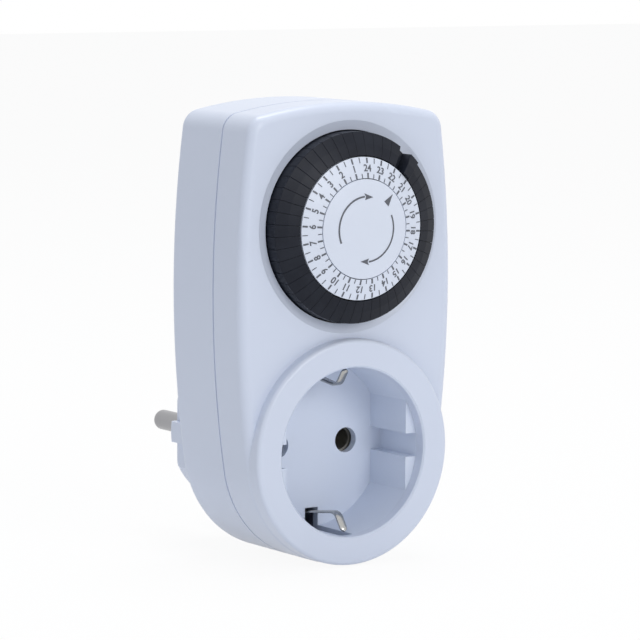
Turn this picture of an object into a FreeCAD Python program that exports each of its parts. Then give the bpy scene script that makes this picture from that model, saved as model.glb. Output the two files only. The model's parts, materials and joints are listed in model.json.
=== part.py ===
"""Plug-in timer switch: a wall-plug case with an earthed socket below and a 24-hour tab dial above.

Frame: the origin is the middle of the plug's engagement face, between the two pins.
X runs to the right as seen from the front, +Y runs back into the wall and +Z runs up.
All sizes are millimetres.
"""

import FreeCAD, Part
import math
import os

# Plug side, a round-pin earthed plug
PIN_SPACING = 19.0
PIN_DIAMETER = 4.8
PIN_LENGTH = 19.0
PIN_TIP_ROUND = 1.6
PIN_ROOT_DIAMETER = 5.4
PIN_ROOT_PROUD = 0.3
PIN_HEAD_DIAMETER = 7.4
PIN_HEAD_THICKNESS = 1.6
BOSS_LENGTH = 18.2
BOSS_DIAMETER = PIN_SPACING + 17.8
BOSS_FLAT_GAP = BOSS_DIAMETER - 4.2
BOSS_RIB_WIDTH = 4.9
BOSS_CORE_LENGTH = 13.0
EARTH_NOTCH_WIDTH = 7.2
EARTH_NOTCH_GAP = BOSS_DIAMETER - 4.4
EARTH_TUCK_LENGTH = 3.6
EARTH_TUCK_DEPTH = 1.4

# Case depths, from the rear face forwards
REAR_DEPTH = 17.7
FRONT_DEPTH = 12.0
RING_PROUD = 2.8
WALL = 2.2
FRONT_EDGE_ROUND = 2.2
REAR_EDGE_ROUND = 1.2
SEAM_LIP = 0.25
SEAM_GROOVE = 0.5

# Case outline, heights from the socket axis
WIDEST_HALF = 29.0
BOTTOM_RADIUS = WIDEST_HALF - 2.7
BOTTOM_BLEND_DEG = 8.0
RING_INSET = 0.15
RING_DIAMETER = 2 * (BOTTOM_RADIUS - RING_INSET)
TAB_OUTER_RADIUS = WIDEST_HALF - 7.1
DIAL_Z = RING_DIAMETER / 2 + TAB_OUTER_RADIUS + 3.55
TOP_Z = DIAL_Z + TAB_OUTER_RADIUS + 6.5
WIDEST_Z = DIAL_Z - 7.2
CORNER_HALF = WIDEST_HALF - 2.8
CORNER_Z = TOP_Z - 3.1
CORNER_ROUND = 4.6

# Socket
RING_ROUND = 1.0
RECESS_DIAMETER = 39.2
RECESS_ROUND = 0.4
LEDGE_DEPTH = 3.0
FLOOR_DEPTH = 17.5
FLOOR_THICKNESS = 2.0
CUP_WALL = 1.7
FLAT_GAP = 33.1
GUIDE_GROOVE_WIDTH = 5.5
PIN_HOLE_DIAMETER = 5.9
EARTH_SLOT_WIDTH = 3.6
EARTH_SLOT_INNER_GAP = 30.4
FLANGE_DIAMETER = RING_DIAMETER - 5.1

# Earth clips
CLIP_WIDTH = 2.9
CLIP_THICKNESS = 0.6
CLIP_APEX_DEPTH = 7.3
CLIP_APEX_GAP = 29.8
CLIP_BEND = 1.2
CLIP_TAIL_LENGTH = 5.5
CLIP_END_DEPTH = 3.7
CLIP_END_GAP = 37.6
CLIP_ROOT_GAP = 34.4
EARTH_CONTACT_WIDTH = 5.4
EARTH_TAIL_LENGTH = 6.0
EARTH_TIP_LENGTH = 3.4
EARTH_TIP_END = 1.2
EARTH_TIP_TUCK = 0.9
STRAP_WIDTH = 7.0
STRAP_THICKNESS = 0.8
STRAP_END = 1.0
STRAP_DEPTH = 25.0

# Socket contacts and conductors
SLEEVE_WALL = 0.6
SLEEVE_FIT = 0.2
SLEEVE_LENGTH = 12.0
SLEEVE_SLIT = 1.0
SLEEVE_GAP_TO_FLOOR = 0.8
SLEEVE_BASE_THICKNESS = 1.0
LINK_THICKNESS = 0.8
LINK_WIDTH = 4.5
LINK_RISE_X = WIDEST_HALF - 12.0
LINK_TOP_Z = DIAL_Z + 16.4
LINK_WALL_GAP = 0.7
LINK_GAP = 1.2
LINK_EYE_RIM = 1.0

# Dial
TAB_COUNT = 48
TAB_GAP_DEG = 0.5
TAB_CREST_RADIUS = TAB_OUTER_RADIUS - 2.6
TAB_INNER_RADIUS = TAB_OUTER_RADIUS - 5.3
DIAL_OPENING_DIAMETER = 2 * (TAB_OUTER_RADIUS + 0.3)
DISH_DIAMETER = DIAL_OPENING_DIAMETER + 4.4
DISH_DEPTH = 0.7
TAB_OUTER_RISE = 3.5
TAB_CREST_RISE = 4.75
TAB_INNER_RISE = 5.7
TAB_SKIRT = 0.9
TAB_TRAVEL = 2.4
TAB_FOOT_INNER = TAB_INNER_RADIUS + 0.8
TAB_FOOT_OUTER = TAB_FOOT_INNER + 1.6
TAB_FOOT_WIDTH = 1.5
TAB_FOOT_REACH = 0.6
PRESSED_TAB = 43
PROUD_TAB = 42
PROUD_BY = 1.0
FIRST_HOUR_DEG = 4.3
TABS_PER_BLOCK = 4
CARRIER_THICKNESS = 1.6
CARRIER_DIAMETER = 2 * (TAB_OUTER_RADIUS - 0.1)
CARRIER_WALL = 1.2
CARRIER_GAP = 0.2
FACE_OUTER_RADIUS = TAB_INNER_RADIUS - 0.3
FACE_INNER_RADIUS = FACE_OUTER_RADIUS - 4.75
FACE_THICKNESS = 1.2
DOME_RISE = 2.6
CAP_RADIUS = FACE_INNER_RADIUS - 0.2
CAP_COLLAR_LENGTH = 1.0
CAP_COLLAR_WALL = 1.2
SPINDLE_DIAMETER = 5.0
SPINDLE_FLANGE_DIAMETER = 9.0
SPINDLE_FLANGE_THICKNESS = 0.6
HUB_DIAMETER = 8.6

# Gear train
GEAR_MODULE = WIDEST_HALF / 58
DIAL_GEAR_TEETH = 60
IDLER_WHEEL_TEETH = 44
IDLER_PINION_TEETH = 10
MOTOR_PINION_TEETH = 8
GEAR_THICKNESS = 1.4
WHEEL_THICKNESS = 1.0
LAYER_GAP = 0.4
BACKLASH = 0.16
FOOT_TO_GEAR_GAP = 0.6
IDLER_AXLE_DIAMETER = 1.6
MOTOR_SHAFT_DIAMETER = 1.5

# Chassis and motor
CHASSIS_THICKNESS = 1.4
CHASSIS_HALF_WIDTH = WIDEST_HALF - 5.0
CHASSIS_LOW_Z = DIAL_Z - 24.6
CHASSIS_HIGH_Z = DIAL_Z + TAB_OUTER_RADIUS
CHASSIS_ROUND = 5.0
MOTOR_X = -16.0 * GEAR_MODULE
MOTOR_Z = DIAL_Z - 15.2 * GEAR_MODULE
MOTOR_DIAMETER = 28.0
MOTOR_BACK_GAP = 0.1
MOTOR_LID_THICKNESS = 1.0
MOTOR_ROUND = 1.2
MOTOR_SHAFT_LENGTH = 5.0
MOTOR_EAR_WIDTH = 6.0
MOTOR_EAR_DEG = 20.0
MOTOR_POST_DIAMETER = 4.0

# Switch, along a line from the dial axis through the pointer
POINTER_DEG = 47.8
LEVER_WIDTH = 3.0
LEVER_THICKNESS = 1.4
LEVER_NOSE_RADIUS = TAB_FOOT_OUTER - 0.8
LEVER_PIVOT_RADIUS = LEVER_NOSE_RADIUS + 7.0
LEVER_PIVOT_DEPTH = 4.6
LEVER_LEG_LENGTH = 4.6
LEVER_PIN_DIAMETER = 1.2
LEVER_EYE_RIM = 1.0
BLADE_THICKNESS = 0.4
BLADE_ARM = 6.0
BLADE_TOE = 0.5
BLADE_OVERLAP = 2.4
BLADE_WIDTH = 2.4
BLADE_SEAT = 1.5
CONTACT_DIAMETER = 2.2
CONTACT_HEIGHT = 0.6
SWITCH_BASE_DEPTH = 3.8
SWITCH_BASE_WIDTH = 8.0
SWITCH_BASE_LENGTH = 7.6

# Screws
SCREW_X = WIDEST_HALF - 6.7
SCREW_Z = DIAL_Z - 24.8
LOW_SCREW_RADIUS = BOTTOM_RADIUS - 5.0
SCREW_DIAMETER = 2.4
SCREW_HEAD_DIAMETER = 4.4
SCREW_HEAD_HEIGHT = 1.6
SCREW_HEAD_SINK = 2.4
SCREW_LENGTH = 12.0
SCREW_SLOT_LENGTH = 4.0
SCREW_SLOT_WIDTH = 0.6
SCREW_SLOT_DEPTH = 0.7
COLUMN_DIAMETER = 5.0
CUP_COLUMN_DIAMETER = 4.2
CUP_COLUMN_LENGTH = 5.0
MOTOR_SCREW_DIAMETER = 1.8
MOTOR_SCREW_HEAD_DIAMETER = 3.4
MOTOR_SCREW_HEAD_HEIGHT = 1.2

# Clearances, and how far joined forms run into each other
JOIN = 0.5
SLIDE_FIT = 0.10
RUNNING_FIT = 0.05
SEAT_GAP = 0.05

# Depth planes worked out from the sizes above
REAR_Y = -BOSS_LENGTH
PART_Y = REAR_Y - REAR_DEPTH
FACE_Y = PART_Y - FRONT_DEPTH
RING_Y = FACE_Y - RING_PROUD
LEDGE_Y = RING_Y + LEDGE_DEPTH
FLOOR_Y = RING_Y + FLOOR_DEPTH
FLOOR_BACK_Y = FLOOR_Y + FLOOR_THICKNESS
OPENING_Y = FACE_Y + DISH_DEPTH
TAB_BACK_Y = OPENING_Y + TAB_SKIRT
CARRIER_Y = TAB_BACK_Y + TAB_TRAVEL + CARRIER_GAP
CARRIER_BACK_Y = CARRIER_Y + CARRIER_THICKNESS
FOOT_Y = CARRIER_BACK_Y + TAB_FOOT_REACH
PRESSED_FOOT_Y = FOOT_Y + TAB_TRAVEL
DIAL_GEAR_Y = PRESSED_FOOT_Y + FOOT_TO_GEAR_GAP
DIAL_GEAR_BACK_Y = DIAL_GEAR_Y + GEAR_THICKNESS
WHEEL_Y = DIAL_GEAR_BACK_Y + LAYER_GAP
WHEEL_BACK_Y = WHEEL_Y + WHEEL_THICKNESS
CHASSIS_Y = WHEEL_BACK_Y + LAYER_GAP
CHASSIS_BACK_Y = CHASSIS_Y + CHASSIS_THICKNESS
DOME_EDGE_Y = OPENING_Y - TAB_INNER_RISE
STRAP_Y = RING_Y + STRAP_DEPTH
LINK_IN_Y = REAR_Y - WALL - LINK_WALL_GAP - LINK_THICKNESS
LINK_OUT_Y = LINK_IN_Y - LINK_GAP - LINK_THICKNESS
PIN_X = PIN_SPACING / 2
BOSS_CORE_Y = -BOSS_CORE_LENGTH


def V(x, y, z):
    return FreeCAD.Vector(x, y, z)


def gear_radius(teeth):
    return GEAR_MODULE * teeth / 2


def cylinder(radius, y0, y1, x=0.0, z=0.0):
    """Round bar along Y from depth y0 to depth y1."""
    return Part.makeCylinder(radius, y1 - y0, V(x, y0, z), V(0, 1, 0))


def tube(outer, inner, y0, y1, x=0.0, z=0.0):
    return cylinder(outer, y0, y1, x, z).cut(cylinder(inner, y0 - 1, y1 + 1, x, z))


def block(x0, x1, y0, y1, z0, z1):
    return Part.makeBox(x1 - x0, y1 - y0, z1 - z0, V(x0, y0, z0))


def revolve(points, x=0.0, z=0.0):
    """Solid of revolution about the Y line through (x, z), from (radius, y) points."""
    corners = [V(x + r, y, z) for r, y in points]
    face = Part.Face(Part.makePolygon(corners + corners[:1]))
    return face.revolve(V(x, 0, z), V(0, 1, 0), 360)


def turned(shape, degrees):
    """Shape turned clockwise about the dial axis, as seen from the front."""
    copy = shape.copy()
    copy.rotate(V(0, 0, DIAL_Z), V(0, 1, 0), degrees)
    return copy


def mirrored_x(shape):
    return shape.mirror(V(0, 0, 0), V(1, 0, 0))


def mirrored_z(shape):
    return shape.mirror(V(0, 0, 0), V(0, 0, 1))


def outline(inset=0.0):
    """Case outline as a face on the XZ plane: round foot, bowed sides and arched top."""
    a = math.radians(BOTTOM_BLEND_DEG)
    foot = V(BOTTOM_RADIUS * math.cos(a), 0, -BOTTOM_RADIUS * math.sin(a))
    low = V(0, 0, -BOTTOM_RADIUS)
    wide = V(WIDEST_HALF, 0, WIDEST_Z)
    corner = V(CORNER_HALF, 0, CORNER_Z)
    top = V(0, 0, TOP_Z)

    def flipped(p):
        return V(-p.x, p.y, p.z)

    edges = [
        Part.Arc(flipped(foot), low, foot).toShape(),
        Part.Arc(foot, wide, corner).toShape(),
        Part.Arc(corner, top, flipped(corner)).toShape(),
        Part.Arc(flipped(corner), flipped(wide), flipped(foot)).toShape(),
    ]
    face = Part.Face(Part.Wire(edges))
    if inset:
        face = face.makeOffset2D(-inset)
    return face


def slab(inset, y0, y1):
    """The outline as a plate between two depths, its upper corners rounded."""
    plate = outline(inset).extrude(V(0, y1 - y0, 0))
    plate.translate(V(0, y0, 0))
    radius = CORNER_ROUND - inset
    corners = [e for e in plate.Edges if is_depthwise(e) and e.CenterOfMass.z > WIDEST_Z]
    return plate.makeFillet(radius, corners)


def is_depthwise(edge):
    box = edge.BoundBox
    return box.XLength < 0.01 and box.ZLength < 0.01 and box.YLength > 0.5


def rim_edges(shape, y):
    return [e for e in shape.Edges if abs(e.BoundBox.YMin - y) < 0.01 and abs(e.BoundBox.YMax - y) < 0.01]


def strip(points, thickness, x0, x1):
    """Bent strip: a line of (y, z) points given a thickness, as wide as x0 to x1."""
    sides = ([], [])
    for i, (y, z) in enumerate(points):
        before = points[max(i - 1, 0)]
        after = points[min(i + 1, len(points) - 1)]
        a = unit(y - before[0], z - before[1]) if i else unit(after[0] - y, after[1] - z)
        b = unit(after[0] - y, after[1] - z) if i < len(points) - 1 else a
        n = unit(-(a[1] + b[1]), a[0] + b[0])
        half = thickness / 2 / max(n[0] * -a[1] + n[1] * a[0], 0.3)
        sides[0].append(V(x0, y + n[0] * half, z + n[1] * half))
        sides[1].append(V(x0, y - n[0] * half, z - n[1] * half))
    loop = sides[0] + sides[1][::-1]
    return Part.Face(Part.makePolygon(loop + loop[:1])).extrude(V(x1 - x0, 0, 0))


def unit(a, b):
    length = math.hypot(a, b)
    return (a / length, b / length)


def gear(teeth, y0, y1, x, z, phase_deg=0.0, bore=0.0):
    """Spur gear with trapezoid teeth, a tooth centred at phase_deg clockwise from the top."""
    pitch = gear_radius(teeth)
    root = pitch - 1.2 * GEAR_MODULE
    tip = pitch + 0.95 * GEAR_MODULE
    step = 360.0 / teeth
    lost = math.degrees(BACKLASH / 2 / pitch)
    at_root = 0.38 * step - lost
    at_tip = 0.12 * step
    points = []
    for i in range(teeth):
        centre = phase_deg + i * step
        for radius, offset in ((root, -at_root), (tip, -at_tip), (tip, at_tip), (root, at_root)):
            a = math.radians(centre + offset)
            points.append(V(x + radius * math.sin(a), y0, z + radius * math.cos(a)))
    body = Part.Face(Part.makePolygon(points + points[:1])).extrude(V(0, y1 - y0, 0))
    if bore:
        body = body.cut(cylinder(bore, y0 - 1, y1 + 1, x, z))
    return body


def idler_place():
    """Centre of the idler, in mesh with the dial gear and with the motor pinion."""
    to_dial = gear_radius(DIAL_GEAR_TEETH) + gear_radius(IDLER_PINION_TEETH)
    to_motor = gear_radius(IDLER_WHEEL_TEETH) + gear_radius(MOTOR_PINION_TEETH)
    dx = MOTOR_X
    dz = MOTOR_Z - DIAL_Z
    apart = math.hypot(dx, dz)
    along = (to_dial ** 2 - to_motor ** 2 + apart ** 2) / (2 * apart)
    aside = math.sqrt(to_dial ** 2 - along ** 2)
    ux, uz = dx / apart, dz / apart
    return along * ux - aside * uz, DIAL_Z + along * uz + aside * ux


IDLER_X, IDLER_Z = idler_place()


def bearing_deg(x0, z0, x1, z1):
    """Direction from one axis to another, in degrees clockwise from the top."""
    return math.degrees(math.atan2(x1 - x0, z1 - z0))


def mesh_phase(driver_phase, driver_teeth, teeth, bearing):
    """Phase that puts a gap of this gear on the tooth of the driver that faces it."""
    driver_step = 360.0 / driver_teeth
    step = 360.0 / teeth
    ahead = ((bearing - driver_phase) / driver_step) % 1.0
    return bearing + 180.0 + (ahead - 0.5) * step


def screw_spots():
    low = LOW_SCREW_RADIUS * math.sqrt(0.5)
    return [(-SCREW_X, SCREW_Z), (SCREW_X, SCREW_Z)], [(-low, -low), (low, -low)]


def front_shell():
    shell = slab(0.0, FACE_Y, PART_Y)
    shell = shell.makeFillet(FRONT_EDGE_ROUND, rim_edges(shell, FACE_Y))
    ring = cylinder(RING_DIAMETER / 2, RING_Y, PART_Y - SEAM_GROOVE)
    ring = ring.makeFillet(RING_ROUND, rim_edges(ring, RING_Y))
    shell = shell.fuse(ring)
    shell = shell.cut(slab(WALL, FACE_Y + WALL, PART_Y + 1))
    shell = shell.fuse(tube(RECESS_DIAMETER / 2 + CUP_WALL + WALL, RECESS_DIAMETER / 2, RING_Y + 1.2, FACE_Y + WALL))
    bore = cylinder(RECESS_DIAMETER / 2, RING_Y - 1, PART_Y)
    lead = revolve([
        (0, RING_Y - 0.1),
        (RECESS_DIAMETER / 2 + RECESS_ROUND + 0.1, RING_Y - 0.1),
        (RECESS_DIAMETER / 2, RING_Y + RECESS_ROUND),
        (0, RING_Y + RECESS_ROUND),
    ])
    seat = cylinder(RECESS_DIAMETER / 2 + CUP_WALL + SEAT_GAP, LEDGE_Y, PART_Y + 1)
    shell = shell.cut(bore).cut(lead).cut(seat)
    shell = shell.cut(dial_dish())
    for x, z in screw_spots()[0]:
        column = cylinder(COLUMN_DIAMETER / 2, FACE_Y + WALL - JOIN, CHASSIS_Y, x, z)
        shell = shell.fuse(column.cut(cylinder(SCREW_DIAMETER / 2, FACE_Y + WALL + 1, CHASSIS_Y + 1, x, z)))
    shell = shell.cut(seam_cut())
    return shell.removeSplitter()


def dial_dish():
    """Round shallow dish with a hollow slope, and the opening that the dial turns in."""
    rim = DISH_DIAMETER / 2
    opening = DIAL_OPENING_DIAMETER / 2
    start = V(rim, FACE_Y, DIAL_Z)
    middle = V(opening + 0.42 * (rim - opening), FACE_Y + 0.78 * DISH_DEPTH, DIAL_Z)
    end = V(opening, OPENING_Y, DIAL_Z)
    back = PART_Y + 1
    edges = [
        Part.Arc(start, middle, end).toShape(),
        Part.LineSegment(end, V(opening, back, DIAL_Z)).toShape(),
        Part.LineSegment(V(opening, back, DIAL_Z), V(0, back, DIAL_Z)).toShape(),
        Part.LineSegment(V(0, back, DIAL_Z), V(0, FACE_Y - 1, DIAL_Z)).toShape(),
        Part.LineSegment(V(0, FACE_Y - 1, DIAL_Z), V(rim, FACE_Y - 1, DIAL_Z)).toShape(),
        Part.LineSegment(V(rim, FACE_Y - 1, DIAL_Z), start).toShape(),
    ]
    return Part.Face(Part.Wire(edges)).revolve(V(0, 0, DIAL_Z), V(0, 1, 0), 360)


def seam_cut():
    """Shadow groove all round the case where the two shells meet."""
    around = 2 * WIDEST_HALF
    band = block(-around, around, PART_Y - SEAM_GROOVE, PART_Y + 1, -around, TOP_Z + around)
    return band.cut(slab(SEAM_LIP, PART_Y - SEAM_GROOVE - 1, PART_Y + 2))


def rear_shell():
    shell = slab(0.0, PART_Y, REAR_Y)
    shell = shell.makeFillet(REAR_EDGE_ROUND, rim_edges(shell, REAR_Y))
    shell = shell.cut(slab(WALL, PART_Y - 1, REAR_Y - WALL))
    shell = shell.fuse(plug_boss())
    shell = shell.cut(boss_hollow())
    upper, lower = screw_spots()
    for x, z in upper + lower:
        start = column_end(z)
        shell = shell.fuse(cylinder(COLUMN_DIAMETER / 2, start, REAR_Y - WALL + JOIN, x, z))
        shell = shell.cut(cylinder(SCREW_DIAMETER / 2 + SLIDE_FIT, start - 1, REAR_Y, x, z))
        shell = shell.cut(cylinder(SCREW_HEAD_DIAMETER / 2 + 0.2, REAR_Y - SCREW_HEAD_SINK, REAR_Y + 1, x, z))
    for side in (-1, 1):
        shell = shell.cut(cylinder(PIN_ROOT_DIAMETER / 2, BOSS_CORE_Y - 1, 1, side * PIN_X))
    for x, z in motor_screw_spots():
        post = cylinder(MOTOR_POST_DIAMETER / 2, CHASSIS_BACK_Y + MOTOR_LID_THICKNESS, REAR_Y - WALL + JOIN, x, z)
        shell = shell.fuse(post)
    return shell.removeSplitter()


def column_end(z):
    return CHASSIS_BACK_Y if z > 0 else FLOOR_BACK_Y + CUP_COLUMN_LENGTH


def plug_boss():
    """Boss that fills a wall socket: round, flat at the sides with a guide rib, notched for earth."""
    radius = BOSS_DIAMETER / 2
    boss = cylinder(radius, REAR_Y - WALL, 0)
    boss = boss.makeFillet(0.8, rim_edges(boss, 0))
    for side in (-1, 1):
        flat = block(BOSS_FLAT_GAP / 2, radius + 1, REAR_Y + 2.0, 1, -radius, radius)
        flat = flat.cut(block(0, radius + 1, REAR_Y, 2, -BOSS_RIB_WIDTH / 2, BOSS_RIB_WIDTH / 2))
        notch = block(-EARTH_NOTCH_WIDTH / 2, EARTH_NOTCH_WIDTH / 2, REAR_Y, 1, EARTH_NOTCH_GAP / 2, radius + 1)
        notch = notch.fuse(block(-STRAP_WIDTH / 2, STRAP_WIDTH / 2, -EARTH_TUCK_LENGTH, 1,
                                 EARTH_NOTCH_GAP / 2 - EARTH_TUCK_DEPTH, radius + 1))
        boss = boss.cut(flat if side > 0 else mirrored_x(flat))
        boss = boss.cut(notch if side > 0 else mirrored_z(notch))
    return boss


def boss_hollow():
    """Space inside the boss for the pin heads, with slots where the earth contacts pass out."""
    radius = BOSS_FLAT_GAP / 2 - WALL
    hollow = cylinder(radius, REAR_Y - WALL - 1, BOSS_CORE_Y)
    half = EARTH_NOTCH_GAP / 2 - WALL
    hollow = hollow.common(block(-radius, radius, REAR_Y - WALL - 1, BOSS_CORE_Y, -half, half))
    z0 = EARTH_NOTCH_GAP / 2 - WALL - 0.5
    z1 = EARTH_NOTCH_GAP / 2 + CLIP_THICKNESS + SLIDE_FIT
    slot = block(-STRAP_WIDTH / 2 - SLIDE_FIT, STRAP_WIDTH / 2 + SLIDE_FIT, REAR_Y - WALL - 1, REAR_Y + 0.6, z0, z1)
    return hollow.fuse(slot).fuse(mirrored_z(slot))


def socket_cup():
    """Recess wall, flats with their guide grooves, floor with pin holes and slots for the earth clips."""
    inner = RECESS_DIAMETER / 2
    outer = inner + CUP_WALL
    cup = tube(outer, inner, LEDGE_Y + SEAT_GAP, FLOOR_Y)
    cup = cup.fuse(cylinder(FLANGE_DIAMETER / 2, FLOOR_Y, FLOOR_BACK_Y))
    core = cylinder(outer - 0.5, LEDGE_Y + SEAT_GAP, FLOOR_Y)
    flat = core.common(block(FLAT_GAP / 2, outer, LEDGE_Y, FLOOR_Y, -outer, outer))
    flat = flat.cut(block(0, inner - 0.1, LEDGE_Y, FLOOR_Y, -GUIDE_GROOVE_WIDTH / 2, GUIDE_GROOVE_WIDTH / 2))
    cup = cup.fuse(flat).fuse(mirrored_x(flat))
    for side in (-1, 1):
        cup = cup.cut(cylinder(PIN_HOLE_DIAMETER / 2, FLOOR_Y - 1, FLOOR_BACK_Y + 1, side * PIN_X))
    half = EARTH_SLOT_WIDTH / 2
    slot = block(-half, half, LEDGE_Y, FLOOR_BACK_Y + 1, EARTH_SLOT_INNER_GAP / 2, outer + 0.5)
    cup = cup.cut(slot).cut(mirrored_z(slot))
    for x, z in screw_spots()[1]:
        column = cylinder(CUP_COLUMN_DIAMETER / 2, FLOOR_BACK_Y - JOIN, column_end(z) - SEAT_GAP, x, z)
        cup = cup.fuse(column)
        cup = cup.cut(cylinder(SCREW_DIAMETER / 2, FLOOR_BACK_Y - JOIN, column_end(z) + 1, x, z))
    return cup.removeSplitter()


def plug_pin(side):
    """Round contact pin: a rounded tip, a thicker root through the boss and the head behind it."""
    x = side * PIN_X
    pin = cylinder(PIN_DIAMETER / 2, BOSS_CORE_Y, PIN_LENGTH, x)
    pin = pin.makeFillet(PIN_TIP_ROUND, rim_edges(pin, PIN_LENGTH))
    root = cylinder(PIN_ROOT_DIAMETER / 2, BOSS_CORE_Y, PIN_ROOT_PROUD, x)
    head = cylinder(PIN_HEAD_DIAMETER / 2, PIN_END_Y, BOSS_CORE_Y, x)
    return pin.fuse(root).fuse(head).removeSplitter()


def plug_earth_contact():
    """Earth contact on top of the boss, bent in at its tail to meet the earth strap."""
    seat = EARTH_NOTCH_GAP / 2 + CLIP_THICKNESS / 2
    tail = STRAP_Y + STRAP_THICKNESS + CLIP_THICKNESS / 2
    half = EARTH_CONTACT_WIDTH / 2
    path = [
        (tail, seat - EARTH_TAIL_LENGTH),
        (tail, seat),
        (-EARTH_TIP_LENGTH, seat),
        (-EARTH_TIP_END, seat - EARTH_TIP_TUCK),
    ]
    return strip(path, CLIP_THICKNESS, -half, half)


def earth_strap():
    """Flat strap up the middle of the case that joins the four earth contacts."""
    half = CLIP_ROOT_GAP / 2 + STRAP_END
    y1 = STRAP_Y + STRAP_THICKNESS
    return block(-STRAP_WIDTH / 2, STRAP_WIDTH / 2, STRAP_Y, y1, -half, half)


def earth_clip():
    """Bowed spring clip that touches the side of the plug, rounded at its free end."""
    root = CLIP_ROOT_GAP / 2
    tail = STRAP_Y - CLIP_THICKNESS / 2
    apex_y = RING_Y + CLIP_APEX_DEPTH
    apex_z = CLIP_APEX_GAP / 2
    end = (RING_Y + CLIP_END_DEPTH, CLIP_END_GAP / 2)
    path = [
        (tail, root - CLIP_TAIL_LENGTH),
        (tail, root),
        (apex_y + CLIP_BEND, apex_z),
        (apex_y, apex_z),
        (apex_y - CLIP_BEND, apex_z + CLIP_BEND / 2),
        end,
    ]
    clip = strip(path, CLIP_THICKNESS, -CLIP_WIDTH / 2, CLIP_WIDTH / 2)
    tips = [e for e in clip.Edges if e.CenterOfMass.y < end[0] + 0.5 and e.BoundBox.XLength < 0.01
            and e.Length < CLIP_THICKNESS * 1.3]
    return clip.makeFillet(CLIP_WIDTH / 2 - 0.1, tips)


def socket_contact(side):
    """Slit spring sleeve that grips a plug pin, with a solder tail at the back."""
    x = side * PIN_X
    outer = SLEEVE_INNER + SLEEVE_WALL
    y0 = FLOOR_BACK_Y + SLEEVE_GAP_TO_FLOOR
    y1 = y0 + SLEEVE_LENGTH
    sleeve = tube(outer, SLEEVE_INNER, y0, y1, x)
    slit = block(x - SLEEVE_SLIT / 2, x + SLEEVE_SLIT / 2, y0 - 1, y1 - SLEEVE_LENGTH / 4, 0, outer + 1)
    return sleeve.cut(slit).fuse(cylinder(outer, y1, SLEEVE_END_Y, x)).removeSplitter()


SLEEVE_INNER = PIN_DIAMETER / 2 + SLEEVE_FIT
SLEEVE_END_Y = FLOOR_BACK_Y + SLEEVE_GAP_TO_FLOOR + SLEEVE_LENGTH + SLEEVE_BASE_THICKNESS
PIN_END_Y = BOSS_CORE_Y - PIN_HEAD_THICKNESS


def neutral_link():
    """Short riser that joins the left sleeve to the left plug pin."""
    half = LINK_WIDTH / 2
    top = SLEEVE_INNER + SLEEVE_WALL
    x0 = -PIN_X - half
    x1 = -PIN_X + half
    foot = block(x0, x1, SLEEVE_END_Y, SLEEVE_END_Y + LINK_THICKNESS, -top, top)
    stem = block(x0, x1, SLEEVE_END_Y, PIN_END_Y, top - LINK_THICKNESS, top)
    head = block(x0, x1, PIN_END_Y - LINK_THICKNESS, PIN_END_Y, -top, top)
    return foot.fuse(stem).fuse(head).removeSplitter()


def riser(y0):
    """Flat bar that climbs beside the motor to the switch, from a depth backwards."""
    half = LINK_WIDTH / 2
    return block(LINK_RISE_X - half, LINK_RISE_X + half, y0, y0 + LINK_THICKNESS, -half, LINK_TOP_Z)


def live_link_out():
    """Conductor from the switch down to the right sleeve, which passes through its eye."""
    half = LINK_WIDTH / 2
    sleeve = SLEEVE_INNER + SLEEVE_WALL
    y0 = LINK_OUT_Y
    y1 = y0 + LINK_THICKNESS
    link = riser(y0).fuse(block(PIN_X, LINK_RISE_X + half, y0, y1, -half, half))
    link = link.fuse(cylinder(sleeve + LINK_EYE_RIM, y0, y1, PIN_X)).cut(cylinder(sleeve, y0 - 1, y1 + 1, PIN_X))
    return link.removeSplitter()


def live_link_in():
    """Conductor from the head of the right plug pin forwards past the sleeve and up to the switch."""
    half = LINK_WIDTH / 2
    stem_x = PIN_X + SLEEVE_INNER + SLEEVE_WALL + SLEEVE_FIT
    y0 = LINK_IN_Y
    y1 = y0 + LINK_THICKNESS
    link = riser(y0).fuse(block(stem_x, LINK_RISE_X + half, y0, y1, -half, half))
    link = link.fuse(block(stem_x, stem_x + LINK_THICKNESS, y0, PIN_END_Y, -half, half))
    link = link.fuse(block(PIN_X - half, stem_x + LINK_THICKNESS, PIN_END_Y - LINK_THICKNESS, PIN_END_Y, -half, half))
    return link.removeSplitter()


def on_pointer(shape):
    """Moves a shape drawn with the pointer line as +Z from the dial axis to its place."""
    copy = shape.copy()
    copy.translate(V(0, 0, DIAL_Z))
    return turned(copy, POINTER_DEG)


NOSE_Y = PRESSED_FOOT_Y + 0.25
PIVOT_Y = NOSE_Y + LEVER_PIVOT_DEPTH
LEG_END_Y = PIVOT_Y + LEVER_LEG_LENGTH
BLADE_ROOT_Y = LEG_END_Y - 0.8 + BLADE_ARM
BLADE_R = LEVER_PIVOT_RADIUS + LEVER_THICKNESS / 2 + BLADE_TOE + 3 * RUNNING_FIT + BLADE_THICKNESS / 2
FIXED_R = BLADE_R + BLADE_THICKNESS / 2 + 2 * CONTACT_HEIGHT + RUNNING_FIT + BLADE_THICKNESS / 2


def pivot_bar(radius, length):
    """Bar along the lever's pivot line, drawn with the pointer line as +Z."""
    return Part.makeCylinder(radius, length, V(-length / 2, PIVOT_Y, LEVER_PIVOT_RADIUS), V(1, 0, 0))


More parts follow.
